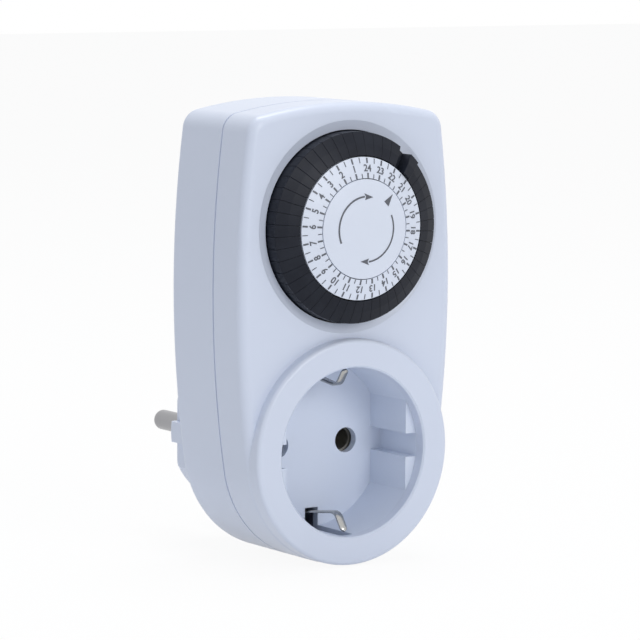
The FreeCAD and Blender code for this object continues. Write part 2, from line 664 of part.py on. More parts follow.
def switch_lever():
    """Bell crank: a nose under the tab feet, a pivot eye and a leg that moves the contact blade."""
    half = LEVER_WIDTH / 2
    path = [
        (NOSE_Y + 0.4, LEVER_NOSE_RADIUS - 0.2),
        (NOSE_Y + 0.9, LEVER_NOSE_RADIUS + 1.2),
        (PIVOT_Y, LEVER_PIVOT_RADIUS),
        (LEG_END_Y, LEVER_PIVOT_RADIUS),
    ]
    arm = strip(path, LEVER_THICKNESS, -half, half)
    arm = arm.cut(block(-half - 1, half + 1, NOSE_Y - 5, NOSE_Y, 0, LEVER_PIVOT_RADIUS))
    outer = LEVER_PIVOT_RADIUS + LEVER_THICKNESS / 2
    arm = arm.fuse(block(-half, half, LEG_END_Y - 1.2, LEG_END_Y, outer - 0.5, outer + BLADE_TOE))
    eye = pivot_bar(LEVER_PIN_DIAMETER / 2 + LEVER_EYE_RIM, LEVER_WIDTH)
    hole = pivot_bar(LEVER_PIN_DIAMETER / 2 + RUNNING_FIT, 2 * LEVER_WIDTH)
    return on_pointer(arm.fuse(eye).cut(hole).removeSplitter())


def lever_pin():
    return on_pointer(pivot_bar(LEVER_PIN_DIAMETER / 2, SWITCH_BASE_WIDTH))


def switch_base():
    """Insulating block behind the lever that holds both contact strips and the lever's cheeks."""
    w = SWITCH_BASE_WIDTH / 2
    r0 = LEVER_PIVOT_RADIUS - 3.0
    r1 = r0 + SWITCH_BASE_LENGTH
    base = block(-w, w, BLADE_ROOT_Y, BLADE_ROOT_Y + SWITCH_BASE_DEPTH, r0, r1)
    inner = LEVER_WIDTH / 2 + 0.3
    cheek = block(inner, w, PIVOT_Y - 1.8, BLADE_ROOT_Y + 0.5, r0, LEVER_PIVOT_RADIUS + 2.0)
    base = base.fuse(cheek).fuse(mirrored_x(cheek))
    pin = pivot_bar(LEVER_PIN_DIAMETER / 2, 2 * SWITCH_BASE_WIDTH)
    base = on_pointer(base.cut(pin).removeSplitter())
    for inlaid in (fixed_contact(), live_link_in(), live_link_out()):
        base = base.cut(inlaid)
    return base


def moving_contact():
    """Spring blade with its silver contact, rooted in the switch base."""
    tip = LEG_END_Y - BLADE_OVERLAP
    half = BLADE_THICKNESS / 2
    blade = block(-BLADE_WIDTH / 2, BLADE_WIDTH / 2, tip, BLADE_ROOT_Y - SEAT_GAP, BLADE_R - half, BLADE_R + half)
    y = tip + CONTACT_DIAMETER / 2 + 0.2
    rivet = Part.makeCylinder(CONTACT_DIAMETER / 2, CONTACT_HEIGHT, V(0, y, BLADE_R + BLADE_THICKNESS / 2), V(0, 0, 1))
    return on_pointer(blade.fuse(rivet).removeSplitter())


def fixed_contact():
    """Stiff outer contact strip with its silver contact."""
    tip = LEG_END_Y - BLADE_OVERLAP
    half = BLADE_THICKNESS / 2
    blade = block(-BLADE_WIDTH / 2, BLADE_WIDTH / 2, tip, BLADE_ROOT_Y + BLADE_SEAT, FIXED_R - half, FIXED_R + half)
    y = tip + CONTACT_DIAMETER / 2 + 0.2
    rivet = Part.makeCylinder(CONTACT_DIAMETER / 2, CONTACT_HEIGHT, V(0, y, FIXED_R - half - CONTACT_HEIGHT), V(0, 0, 1))
    return on_pointer(blade.fuse(rivet).removeSplitter())


def chassis_plate():
    """Plate behind the dial that carries the spindle, the idler, the motor and the switch."""
    w = CHASSIS_HALF_WIDTH
    plate = block(-w, w, CHASSIS_Y, CHASSIS_BACK_Y, CHASSIS_LOW_Z, CHASSIS_HIGH_Z)
    plate = plate.makeFillet(CHASSIS_ROUND, [e for e in plate.Edges if is_depthwise(e)])
    plate = plate.cut(cylinder(SPINDLE_DIAMETER / 2, CHASSIS_Y - 1, CHASSIS_BACK_Y + 1, 0, DIAL_Z))
    plate = plate.cut(cylinder(IDLER_AXLE_DIAMETER / 2, CHASSIS_Y - 1, CHASSIS_BACK_Y + 1, IDLER_X, IDLER_Z))
    plate = plate.cut(cylinder(gear_radius(MOTOR_PINION_TEETH) + 0.8, CHASSIS_Y - 1, CHASSIS_BACK_Y + 1,
                               MOTOR_X, MOTOR_Z))
    for x, z in motor_screw_spots():
        plate = plate.cut(cylinder(MOTOR_SCREW_DIAMETER / 2, CHASSIS_Y - 1, CHASSIS_BACK_Y + 1, x, z))
    for x, z in screw_spots()[0]:
        plate = plate.cut(cylinder(SCREW_DIAMETER / 2 + SLIDE_FIT, CHASSIS_Y - 1, CHASSIS_BACK_Y + 1, x, z))
    return plate.cut(on_pointer(switch_window())).removeSplitter()


def switch_window():
    """Notch for the switch, open at the plate's corner."""
    half = SWITCH_BASE_WIDTH / 2 + SLIDE_FIT
    outer = 2 * CHASSIS_HALF_WIDTH
    return block(-half, half, CHASSIS_Y - 1, CHASSIS_BACK_Y + 1, LEVER_NOSE_RADIUS - LEVER_WIDTH, outer)


def dial_spindle():
    """Fixed spindle that the dial turns on, with a flange on the chassis and a seat for the cap."""
    y0 = cap_seat_y()
    spindle = cylinder(SPINDLE_DIAMETER / 2, y0, CHASSIS_BACK_Y, 0, DIAL_Z)
    flange = cylinder(SPINDLE_FLANGE_DIAMETER / 2, CHASSIS_Y - SPINDLE_FLANGE_THICKNESS, CHASSIS_Y, 0, DIAL_Z)
    return spindle.fuse(flange).removeSplitter()


def cap_seat_y():
    return dome_y(0) + FACE_THICKNESS


def dome_y(radius):
    """Depth of the domed dial front at a radius."""
    return DOME_EDGE_Y - DOME_RISE * (1 - (radius / TAB_INNER_RADIUS) ** 2)


def dome_ring(inner, outer, thickness, extra):
    """Domed ring between two radii, drawn with true arcs, with a plain extension to the back."""
    middle = (inner + outer) / 2
    back = dome_y(outer) + thickness + extra
    front = Part.Arc(V(inner, dome_y(inner), DIAL_Z), V(middle, dome_y(middle), DIAL_Z),
                     V(outer, dome_y(outer), DIAL_Z)).toShape()
    corners = [V(outer, dome_y(outer), DIAL_Z), V(outer, back, DIAL_Z), V(inner, back, DIAL_Z),
               V(inner, dome_y(inner), DIAL_Z)]
    sides = [Part.LineSegment(a, b).toShape() for a, b in zip(corners, corners[1:])]
    return Part.Face(Part.Wire([front] + sides)).revolve(V(0, 0, DIAL_Z), V(0, 1, 0), 360)


def dial_face():
    """White numbered ring, domed with the cap, standing on the carrier's wall."""
    return dome_ring(FACE_INNER_RADIUS, FACE_OUTER_RADIUS, FACE_THICKNESS, 0.0)


def face_back_y():
    return dome_y(FACE_OUTER_RADIUS) + FACE_THICKNESS


def centre_cap():
    """Fixed domed cap with the pointer, pushed onto the end of the spindle."""
    cap = dome_ring(0.001, CAP_RADIUS, FACE_THICKNESS, 0.0)
    cap = cap.fuse(cylinder(CAP_RADIUS - 0.1, dome_y(CAP_RADIUS) + 0.1, face_back_y(), 0, DIAL_Z))
    end = face_back_y() + CAP_COLLAR_LENGTH
    collar = cylinder(SPINDLE_DIAMETER / 2 + CAP_COLLAR_WALL, cap_seat_y() - JOIN, end, 0, DIAL_Z)
    socket = cylinder(SPINDLE_DIAMETER / 2, cap_seat_y(), end + 1, 0, DIAL_Z)
    return cap.fuse(collar).cut(socket).removeSplitter()


def dial_carrier():
    """Wheel that holds the tabs: a slotted plate, a guide wall inside the tabs and a hub with its gear."""
    z = DIAL_Z
    plate = tube(CARRIER_DIAMETER / 2, HUB_DIAMETER / 2, CARRIER_Y, CARRIER_BACK_Y, 0, z)
    wall_outer = TAB_INNER_RADIUS - SLIDE_FIT
    wall = tube(wall_outer, wall_outer - CARRIER_WALL, face_back_y(), CARRIER_Y, 0, z)
    inner_wall = tube(FACE_INNER_RADIUS + CARRIER_WALL, FACE_INNER_RADIUS, face_back_y(), CARRIER_Y, 0, z)
    hub = tube(HUB_DIAMETER / 2, SPINDLE_DIAMETER / 2 + RUNNING_FIT, CARRIER_Y - 3.0, DIAL_GEAR_BACK_Y, 0, z)
    carrier = plate.fuse(wall).fuse(inner_wall).fuse(hub)
    half = TAB_FOOT_WIDTH / 2 + SLIDE_FIT
    slot = block(-half, half, CARRIER_Y - 1, CARRIER_BACK_Y + 1, z + TAB_FOOT_INNER - SLIDE_FIT,
                 z + TAB_FOOT_OUTER + SLIDE_FIT)
    slots = Part.makeCompound([turned(slot, tab_angle(i)) for i in range(TAB_COUNT)])
    return carrier.cut(slots).removeSplitter()


def dial_gear():
    return gear(DIAL_GEAR_TEETH, DIAL_GEAR_Y, DIAL_GEAR_BACK_Y, 0, DIAL_Z, 0.0, HUB_DIAMETER / 2)


def tab_angle(index):
    """Middle of a tab, in degrees clockwise from the top. Tab 0 starts at the 24 mark."""
    return FIRST_HOUR_DEG - (index + 0.5) * 360.0 / TAB_COUNT


def tab():
    """One tab at the top of the dial: a wedge with a crest, and its foot."""
    half_deg = 180.0 / TAB_COUNT - TAB_GAP_DEG / 2
    back = TAB_BACK_Y
    profile = [
        (TAB_INNER_RADIUS, back),
        (TAB_INNER_RADIUS, OPENING_Y - TAB_INNER_RISE),
        (TAB_CREST_RADIUS, OPENING_Y - TAB_CREST_RISE),
        (TAB_OUTER_RADIUS, OPENING_Y - TAB_OUTER_RISE),
        (TAB_OUTER_RADIUS, back),
    ]
    corners = [V(0, y, DIAL_Z + r) for r, y in profile]
    face = Part.Face(Part.makePolygon(corners + corners[:1]))
    face.rotate(V(0, 0, DIAL_Z), V(0, 1, 0), -half_deg)
    body = face.revolve(V(0, 0, DIAL_Z), V(0, 1, 0), 2 * half_deg)
    half = TAB_FOOT_WIDTH / 2
    foot = block(-half, half, back - JOIN, FOOT_Y, DIAL_Z + TAB_FOOT_INNER, DIAL_Z + TAB_FOOT_OUTER)
    return body.fuse(foot).removeSplitter()


def tab_in_place(one, index):
    """A tab turned to its place. One is pushed in, and the next stands a little proud."""
    placed = turned(one, tab_angle(index))
    if index == PRESSED_TAB:
        placed.translate(V(0, TAB_TRAVEL, 0))
    if index == PROUD_TAB:
        placed.translate(V(0, -PROUD_BY, 0))
    return placed


def tab_blocks():
    """Named groups of tabs: two-hour blocks of four, with the pressed tab by itself."""
    one = tab()
    blocks = {}
    for start in range(0, TAB_COUNT, TABS_PER_BLOCK):
        members = [i for i in range(start, start + TABS_PER_BLOCK) if i != PRESSED_TAB]
        name = "tabs_hour_%02d_to_%02d" % (start // 2, (start + TABS_PER_BLOCK) // 2)
        blocks[name] = [tab_in_place(one, i) for i in members]
    blocks["tab_pressed"] = [tab_in_place(one, PRESSED_TAB)]
    return blocks


def gear_phases():
    """Tooth phases of the idler pinion, idler wheel and motor pinion, in mesh at rest."""
    to_idler = bearing_deg(0, DIAL_Z, IDLER_X, IDLER_Z)
    pinion = mesh_phase(0.0, DIAL_GEAR_TEETH, IDLER_PINION_TEETH, to_idler)
    to_motor = bearing_deg(IDLER_X, IDLER_Z, MOTOR_X, MOTOR_Z)
    motor = mesh_phase(pinion, IDLER_WHEEL_TEETH, MOTOR_PINION_TEETH, to_motor)
    return pinion, pinion, motor


def idler_gear():
    """Compound idler: a large wheel under the motor pinion and a small pinion in the dial gear."""
    pinion_phase, wheel_phase, _ = gear_phases()
    wheel = gear(IDLER_WHEEL_TEETH, WHEEL_Y, WHEEL_BACK_Y, IDLER_X, IDLER_Z, wheel_phase)
    pinion = gear(IDLER_PINION_TEETH, DIAL_GEAR_Y, WHEEL_Y, IDLER_X, IDLER_Z, pinion_phase)
    body = wheel.fuse(pinion)
    bore = cylinder(IDLER_AXLE_DIAMETER / 2 + RUNNING_FIT, DIAL_GEAR_Y - 1, CHASSIS_Y, IDLER_X, IDLER_Z)
    return body.cut(bore).removeSplitter()


def idler_axle():
    return cylinder(IDLER_AXLE_DIAMETER / 2, DIAL_GEAR_Y - 0.4, CHASSIS_BACK_Y, IDLER_X, IDLER_Z)


def motor_pinion():
    """Output pinion on the motor's shaft, through the chassis."""
    phase = gear_phases()[2]
    pinion = gear(MOTOR_PINION_TEETH, WHEEL_Y - 0.1, WHEEL_BACK_Y + 0.1, MOTOR_X, MOTOR_Z, phase)
    shaft = cylinder(MOTOR_SHAFT_DIAMETER / 2, WHEEL_Y, CHASSIS_BACK_Y + MOTOR_SHAFT_LENGTH, MOTOR_X, MOTOR_Z)
    return pinion.fuse(shaft).removeSplitter()


def motor_screw_spots():
    reach = MOTOR_DIAMETER / 2 + 2.2
    a = math.radians(MOTOR_EAR_DEG)
    dx, dz = reach * math.sin(a), reach * math.cos(a)
    return [(MOTOR_X + dx, MOTOR_Z + dz), (MOTOR_X - dx, MOTOR_Z - dz)]


def motor_can():
    """Sealed gear motor: the drawn can behind the chassis, bored for its output shaft."""
    y0 = CHASSIS_BACK_Y + MOTOR_LID_THICKNESS
    y1 = REAR_Y - WALL - MOTOR_BACK_GAP
    can = cylinder(MOTOR_DIAMETER / 2, y0, y1, MOTOR_X, MOTOR_Z)
    can = can.makeFillet(MOTOR_ROUND, rim_edges(can, y1))
    bore = cylinder(MOTOR_SHAFT_DIAMETER / 2 + RUNNING_FIT, y0 - 1, CHASSIS_BACK_Y + MOTOR_SHAFT_LENGTH + SLIDE_FIT, MOTOR_X, MOTOR_Z)
    return can.cut(bore)


def motor_lid():
    """Lid of the motor with the two ears that fix it to the chassis."""
    y1 = CHASSIS_BACK_Y + MOTOR_LID_THICKNESS
    lid = cylinder(MOTOR_DIAMETER / 2, CHASSIS_BACK_Y, y1, MOTOR_X, MOTOR_Z)
    for x, z in motor_screw_spots():
        lid = lid.fuse(cylinder(MOTOR_EAR_WIDTH / 2, CHASSIS_BACK_Y, y1, x, z))
    for x, z in motor_screw_spots():
        lid = lid.cut(cylinder(MOTOR_SCREW_DIAMETER / 2, CHASSIS_BACK_Y - 1, y1 + 1, x, z))
    lid = lid.cut(cylinder(MOTOR_SHAFT_DIAMETER / 2 + RUNNING_FIT, CHASSIS_BACK_Y - 1, y1 + 1, MOTOR_X, MOTOR_Z))
    return lid.removeSplitter()


def motor_screws():
    screws = []
    for x, z in motor_screw_spots():
        shank = cylinder(MOTOR_SCREW_DIAMETER / 2, CHASSIS_Y, CHASSIS_BACK_Y + MOTOR_LID_THICKNESS, x, z)
        head = cylinder(MOTOR_SCREW_HEAD_DIAMETER / 2, CHASSIS_Y - MOTOR_SCREW_HEAD_HEIGHT, CHASSIS_Y, x, z)
        screws.append(shank.fuse(head).removeSplitter())
    return screws


def housing_screws():
    """Four screws put in from the rear, their heads sunk below the rear face."""
    screws = []
    upper, lower = screw_spots()
    head_y = REAR_Y - SCREW_HEAD_SINK
    for x, z in upper + lower:
        tip = head_y - SCREW_LENGTH if z > 0 else FLOOR_BACK_Y + 1.0
        shank = cylinder(SCREW_DIAMETER / 2, tip, head_y, x, z)
        head = cylinder(SCREW_HEAD_DIAMETER / 2, head_y, head_y + SCREW_HEAD_HEIGHT, x, z)
        long = SCREW_SLOT_LENGTH / 2
        thin = SCREW_SLOT_WIDTH / 2
        y0 = head_y + SCREW_HEAD_HEIGHT - SCREW_SLOT_DEPTH
        slot = block(x - long, x + long, y0, REAR_Y, z - thin, z + thin)
        slot = slot.fuse(block(x - thin, x + thin, y0, REAR_Y, z - long, z + long))
        screws.append(shank.fuse(head).cut(slot).removeSplitter())
    return screws


def build():
    clip = earth_clip()
    contact = plug_earth_contact()
    nodes = {
        "front_shell": [front_shell()],
        "rear_shell": [rear_shell()],
        "socket_cup": [socket_cup()],
        "plug_pin_left": [plug_pin(-1)],
        "plug_pin_right": [plug_pin(1)],
        "plug_earth_contact_top": [contact],
        "plug_earth_contact_bottom": [mirrored_z(contact)],
        "earth_strap": [earth_strap()],
        "earth_clip_top": [clip],
        "earth_clip_bottom": [mirrored_z(clip)],
        "socket_contact_left": [socket_contact(-1)],
        "socket_contact_right": [socket_contact(1)],
        "neutral_link": [neutral_link()],
        "live_link_in": [live_link_in()],
        "live_link_out": [live_link_out()],
        "chassis_plate": [chassis_plate()],
        "dial_spindle": [dial_spindle()],
        "centre_cap": [centre_cap()],
        "dial_face": [dial_face()],
        "dial_carrier": [dial_carrier()],
        "dial_gear": [dial_gear()],
        "idler_gear": [idler_gear()],
        "idler_axle": [idler_axle()],
        "motor_pinion": [motor_pinion()],
        "motor_can": [motor_can()],
        "motor_lid": [motor_lid()],
        "motor_screws": motor_screws(),
        "switch_lever": [switch_lever()],
        "lever_pin": [lever_pin()],
        "switch_base": [switch_base()],
        "moving_contact": [moving_contact()],
        "fixed_contact": [fixed_contact()],
        "housing_screws": housing_screws(),
    }
    nodes.update(tab_blocks())
    return nodes


def main():
    os.makedirs("parts", exist_ok=True)
    for name, solids in build().items():
        shape = solids[0] if len(solids) == 1 else Part.makeCompound(solids)
        shape.exportStep("parts/" + name + ".step")
        print(name, len(shape.Solids), shape.isValid(), round(shape.Volume, 1))


main()
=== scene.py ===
"""Looks of a plug-in timer switch: white case, black tab ring, printed dial, bright pins and clips."""

import json
import math

import bmesh
import bpy
from mathutils import Matrix, Vector

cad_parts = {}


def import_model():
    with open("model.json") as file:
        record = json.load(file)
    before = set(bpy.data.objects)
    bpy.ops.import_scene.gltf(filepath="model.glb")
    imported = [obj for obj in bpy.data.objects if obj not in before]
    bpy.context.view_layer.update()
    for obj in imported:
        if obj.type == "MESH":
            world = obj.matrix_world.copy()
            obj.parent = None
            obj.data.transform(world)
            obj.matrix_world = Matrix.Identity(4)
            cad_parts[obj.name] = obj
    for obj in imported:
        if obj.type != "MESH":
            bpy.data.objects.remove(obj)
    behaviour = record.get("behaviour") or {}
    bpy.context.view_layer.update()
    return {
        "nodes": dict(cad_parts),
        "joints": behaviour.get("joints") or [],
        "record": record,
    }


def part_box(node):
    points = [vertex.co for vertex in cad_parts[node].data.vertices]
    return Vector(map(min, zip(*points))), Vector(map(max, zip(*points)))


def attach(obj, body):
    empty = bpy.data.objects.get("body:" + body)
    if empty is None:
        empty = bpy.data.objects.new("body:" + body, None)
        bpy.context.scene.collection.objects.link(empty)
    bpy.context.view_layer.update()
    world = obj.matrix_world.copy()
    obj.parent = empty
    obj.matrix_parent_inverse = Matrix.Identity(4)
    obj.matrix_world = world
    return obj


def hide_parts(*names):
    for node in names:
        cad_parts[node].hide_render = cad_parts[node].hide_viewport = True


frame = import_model()

# Lengths are in metres, angles end in _DEG, and -y is the front
MM = 0.001

# Places read from the frame
RING_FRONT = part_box("front_shell")[0][1]
FLOOR_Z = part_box("front_shell")[0][2]
DIAL = next(j for j in frame["joints"] if j["name"] == "dial_turn")
DIAL_Z = DIAL["pos_m"][2]
CARRIER_Y = DIAL["pos_m"][1]
DOME_EDGE_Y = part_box("dial_face")[1][1] - 1.2 * MM

# Dial: hours run against the clock from the first one, and two tabs make an hour
HOURS = 24
TABS = 48
HOUR_DEG = 360.0 / HOURS
TAB_DEG = 360.0 / TABS
FIRST_HOUR_DEG = 4.3
DOME_RADIUS = 16.6 * MM
DOME_EDGE_RADIUS = 16.3 * MM
DOME_RISE = 2.6 * MM

# Print on the dial and on its cap
INK = 0.07 * MM
HOUR_TICK_WIDTH = 0.40 * MM
HALF_HOUR_TICK_WIDTH = 0.19 * MM
OUTER_TICK_START = 14.95 * MM
OUTER_TICK_END = 16.15 * MM
INNER_TICK_START = 11.60 * MM
INNER_HOUR_TICK_END = 12.75 * MM
INNER_HALF_HOUR_TICK_END = 12.55 * MM
DIGIT_HEIGHT = 2.16 * MM
DIGIT_RADIUS = 13.86 * MM
DIGIT_NARROW = 0.98
DIGIT_SPACING = 0.98
DIGIT_BOLD = 0.035 * MM
DIGIT_CURVE_STEPS = 3
ARC_RADIUS = 7.45 * MM
ARC_WIDTH = 0.38 * MM
ARC_STEPS = 26
ARROWS_DEG = ((-113.0, 13.6), (66.6, 192.2))
HEAD_LENGTH = 2.3 * MM
HEAD_WIDTH = 1.5 * MM
HEAD_NOTCH = 0.35 * MM
POINTER_DEG = 44.6
POINTER_TIP = 10.7 * MM
POINTER_BASE = 7.8 * MM
POINTER_WIDTH = 1.65 * MM
WELD = 0.001 * MM

# Tabs: a crested wedge over each half hour, with a square foot in the carrier
CASE_FACE_Y = RING_FRONT + 2.8 * MM
OPENING_Y = CASE_FACE_Y + 0.7 * MM
TAB_BACK_Y = OPENING_Y + 0.9 * MM
TAB_INNER_RADIUS = 16.6 * MM
TAB_CREST_RADIUS = 19.3 * MM
TAB_OUTER_RADIUS = 21.9 * MM
TAB_PROFILE = (
    (TAB_INNER_RADIUS, TAB_BACK_Y),
    (TAB_INNER_RADIUS, OPENING_Y - 5.7 * MM),
    (TAB_CREST_RADIUS, OPENING_Y - 4.75 * MM),
    (TAB_OUTER_RADIUS, OPENING_Y - 3.5 * MM),
    (TAB_OUTER_RADIUS, TAB_BACK_Y),
)
TAB_GAP_DEG = 0.14
TAB_STEPS = 4
TAB_EDGE = 0.09 * MM
TAB_EDGE_STEPS = 2
TAB_EDGE_FULLNESS = 0.6
TAB_SHARP_DEG = 14.0
TAB_FOOT_INNER = 17.4 * MM
TAB_FOOT_OUTER = 19.0 * MM
TAB_FOOT_HALF = 0.75 * MM
TAB_FOOT_SUNK = 0.3 * MM
TAB_FOOT_DEPTH = 2.2 * MM
TABS_PER_HOUR = 2
TABS_PER_BLOCK = 4
PRESSED_TAB = 43
PROUD_TAB = 42
TAB_PUSH = {PRESSED_TAB: 2.4 * MM, PROUD_TAB: -1.0 * MM}

# Earth clips: the strip's middle line as (y, height) from its root to its free end
CLIP_PATH = (
    (RING_FRONT + 24.7 * MM, 11.7 * MM),
    (RING_FRONT + 24.7 * MM, 17.2 * MM),
    (RING_FRONT + 8.5 * MM, 14.9 * MM),
    (RING_FRONT + 7.3 * MM, 14.9 * MM),
    (RING_FRONT + 6.1 * MM, 15.5 * MM),
    (RING_FRONT + 3.7 * MM, 18.8 * MM),
)
CLIP_ROUNDING = 0.7 * MM
CLIP_STEPS = 5
CLIP_WIDE = 2.9 * MM
CLIP_NARROW = 2.0 * MM
CLIP_TAPER_START = 9.0 * MM
CLIP_TAPER_LENGTH = 10.0 * MM
CLIP_TIP_HALF = 0.25 * MM
CLIP_THICK = 0.56 * MM
CLIP_EDGE = 0.16 * MM
CLIP_SHARP_DEG = 50.0

# Camera fitted to the photograph
CAMERA_PLACE = Vector((-457.636, -667.482, 123.809)) * MM + Vector((0.0, RING_FRONT, 0.0))
CAMERA_RIGHT = Vector((0.830404, -0.557129, 0.006058))
CAMERA_UP = Vector((0.058824, 0.098478, 0.993399))
CAMERA_NUDGE = -0.42 * MM
CAMERA_FOCAL_PX = 3575.6
CAMERA_CLIP = (0.01, 20.0)
FRAME_PX = 640.0
SENSOR_MM = 36.0

# Studio
FLOOR_HALF = 3.0
FLOOR_GAP = 0.2 * MM
FLOOR_GLOW = 0.93
AMBIENT = 0.46
LAMP_TARGET = (0.0, RING_FRONT, 0.03)


class Wire:
    """A shader socket that takes part in Python arithmetic."""

    def __init__(self, shading, socket):
        self.shading = shading
        self.socket = socket

    def _math(self, operation, *values):
        return self.shading.node("ShaderNodeMath", {"operation": operation}, dict(enumerate(values)))

    def __add__(self, other):
        return self._math("ADD", self, other)

    def __radd__(self, other):
        return self._math("ADD", other, self)

    def __mul__(self, other):
        return self._math("MULTIPLY", self, other)

    def __rmul__(self, other):
        return self._math("MULTIPLY", other, self)


class Shading:
    """A node tree whose nodes all come from one method."""

    def __init__(self, tree):
        self.nodes = tree.nodes
        self.links = tree.links

    def put(self, socket, value):
        if isinstance(value, Wire):
            self.links.new(value.socket, socket)
        else:
            socket.default_value = value

    def node(self, kind, settings=None, values=None, out=0):
        new = self.nodes.new(kind)
        for key, value in (settings or {}).items():
            setattr(new, key, value)
        for key, value in (values or {}).items():
            self.put(new.inputs[key], value)
        return Wire(self, new.outputs[out])

    def background_seen(self):
        """1 for the camera, gloss and glass, and 0 for light that falls on the object."""
        camera, gloss, glass = (self.node("ShaderNodeLightPath", out=ray) for ray in
                                ("Is Camera Ray", "Is Glossy Ray", "Is Transmission Ray"))
        return self.node("ShaderNodeMath", {"operation": "MINIMUM"}, {0: camera + gloss + glass, 1: 1.0})


class Material(Shading):
    """A node material whose Principled shader is filled in by name."""

    def __init__(self, name):
        self.material = bpy.data.materials.new(name)
        self.material.use_nodes = True
        super().__init__(self.material.node_tree)
        self.shader = self.nodes["Principled BSDF"]

    def set(self, **values):
        for key, value in values.items():
            self.put(self.shader.inputs[key.replace("_", " ")], value)

    def noise(self, scale, detail, roughness=0.55, stretch=(1.0, 1.0, 1.0)):
        place = self.node("ShaderNodeTexCoord", out="Object")
        where = self.node("ShaderNodeMapping", values={"Vector": place, "Scale": stretch})
        return self.node("ShaderNodeTexNoise", values={"Vector": where, "Scale": scale, "Detail": detail,
                                                       "Roughness": roughness})

    def mix(self, factor, a, b):
        """Mix of two colours, which the Mix node takes at its sockets 6 and 7 and gives at 2."""
        return self.node("ShaderNodeMix", {"data_type": "RGBA"}, {"Factor": factor, 6: a, 7: b}, out=2)

    def bump(self, height, strength, distance):
        return self.node("ShaderNodeBump", values={"Height": height, "Strength": strength,
                                                   "Distance": distance})


def rgba(r, g, b):
    return (r, g, b, 1.0)


def shaded(colour, share):
    return rgba(*(c * share for c in colour))


def moulded(name, colour, roughness, darkest=0.965):
    """Moulded plastic: faint clouding of the colour, uneven gloss and a fine spark-eroded grain."""
    gloss_spread = 0.08
    m = Material(name)
    cloud = m.noise(scale=38.0, detail=4.0)
    m.set(Base_Color=m.mix(cloud, shaded(colour, darkest), rgba(*colour)))
    m.set(Roughness=cloud * gloss_spread + (roughness - gloss_spread / 2))
    m.set(Normal=m.bump(m.noise(scale=2600.0, detail=2.0), strength=0.12, distance=0.006 * MM))
    m.set(Specular_IOR_Level=0.5)
    return m.material


def tab_plastic(name):
    """Near-black satin plastic, rubbed a little lighter in patches by fingers."""
    wear_cover = 0.35
    gloss_spread = 0.14
    m = Material(name)
    mottle = m.noise(scale=420.0, detail=5.0, roughness=0.6)
    rubbed = m.noise(scale=160.0, detail=3.0)
    wear = m.node("ShaderNodeMapRange", values={"Value": rubbed, "From Min": 0.45, "From Max": 0.75})
    base = m.mix(mottle, rgba(0.0045, 0.0065, 0.0130), rgba(0.0105, 0.0130, 0.0220))
    m.set(Base_Color=m.mix(wear * wear_cover, base, rgba(0.022, 0.026, 0.038)))
    m.set(Roughness=mottle * gloss_spread + 0.36)
    m.set(Specular_IOR_Level=0.2)
    m.set(Normal=m.bump(m.noise(scale=3200.0, detail=2.0), strength=0.25, distance=0.01 * MM))
    return m.material


def metal(name, colour, roughness):
    """Drawn or stamped metal: fine streaks along one axis and slightly dull patches."""
    patch_spread = 0.12
    streak_spread = 0.08
    m = Material(name)
    streaks = m.noise(scale=900.0, detail=4.0, roughness=0.6, stretch=(1.0, 30.0, 1.0))
    patches = m.noise(scale=140.0, detail=4.0)
    m.set(Base_Color=m.mix(patches, shaded(colour, 0.82), rgba(*colour)))
    m.set(Metallic=1.0)
    m.set(Roughness=patches * patch_spread + streaks * streak_spread
          + (roughness - (patch_spread + streak_spread) / 2))
    m.set(Normal=m.bump(streaks, strength=0.2, distance=0.01 * MM))
    return m.material


def ink(name):
    """Pad-printed dark grey ink with slightly uneven cover."""
    gloss_spread = 0.1
    m = Material(name)
    cover = m.noise(scale=2200.0, detail=3.0)
    m.set(Base_Color=m.mix(cover, rgba(0.085, 0.092, 0.112), rgba(0.115, 0.123, 0.147)))
    m.set(Roughness=cover * gloss_spread + 0.42)
    return m.material


MATERIALS = {
    "case_white": moulded("case_white", (0.655, 0.710, 0.840), 0.33),
    # The socket white is the case white made lighter: painted light on the floor and walls of the socket
    # cup, which lamps leave in shade
    "socket_white": moulded("socket_white", (0.695, 0.755, 0.880), 0.36),
    "dial_white": moulded("dial_white", (0.700, 0.750, 0.860), 0.40),
    "carrier_grey": moulded("carrier_grey", (0.012, 0.013, 0.016), 0.55, darkest=0.8),
    "nylon": moulded("nylon", (0.74, 0.72, 0.64), 0.45),
    "inner_plastic": moulded("inner_plastic", (0.30, 0.32, 0.35), 0.55, darkest=0.9),
    "tab_black": tab_plastic("tab_black"),
    "plated_pin": metal("plated_pin", (0.37, 0.37, 0.385), 0.30),
    "spring_steel": metal("spring_steel", (0.50, 0.50, 0.49), 0.27),
    "contact_brass": metal("contact_brass", (0.46, 0.45, 0.42), 0.46),
    "bright_steel": metal("bright_steel", (0.55, 0.56, 0.58), 0.32),
    "zinc_steel": metal("zinc_steel", (0.45, 0.47, 0.50), 0.40),
}
INK_GREY = ink("ink_grey")


def finish_nodes():
    """Gives every carried-over node the material of its slot."""
    slots = {s["node"]: s["material_slot"] for s in frame["record"]["subparts"]}
    for name, obj in frame["nodes"].items():
        obj.data.materials.clear()
        obj.data.materials.append(MATERIALS[slots[name]])


def linked(obj):
    bpy.context.scene.collection.objects.link(obj)
    return obj


def new_piece(name, bm, material, body):
    """Object from a bmesh, with faces turned outwards, that rides on a body."""
    bmesh.ops.recalc_face_normals(bm, faces=bm.faces[:])
    mesh = bpy.data.meshes.new(name)
    bm.to_mesh(mesh)
    bm.free()
    obj = linked(bpy.data.objects.new(name, mesh))
    mesh.materials.append(material)
    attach(obj, body)
    return obj


def smooth(obj, degrees):
    """Smooth shading but for edges sharper than an angle."""
    mesh = obj.data
    bm = bmesh.new()
    bm.from_mesh(mesh)
    for face in bm.faces:
        face.smooth = True
    for edge in bm.edges:
        edge.smooth = edge.calc_face_angle(0.0) < math.radians(degrees)
    bm.to_mesh(mesh)
    bm.free()


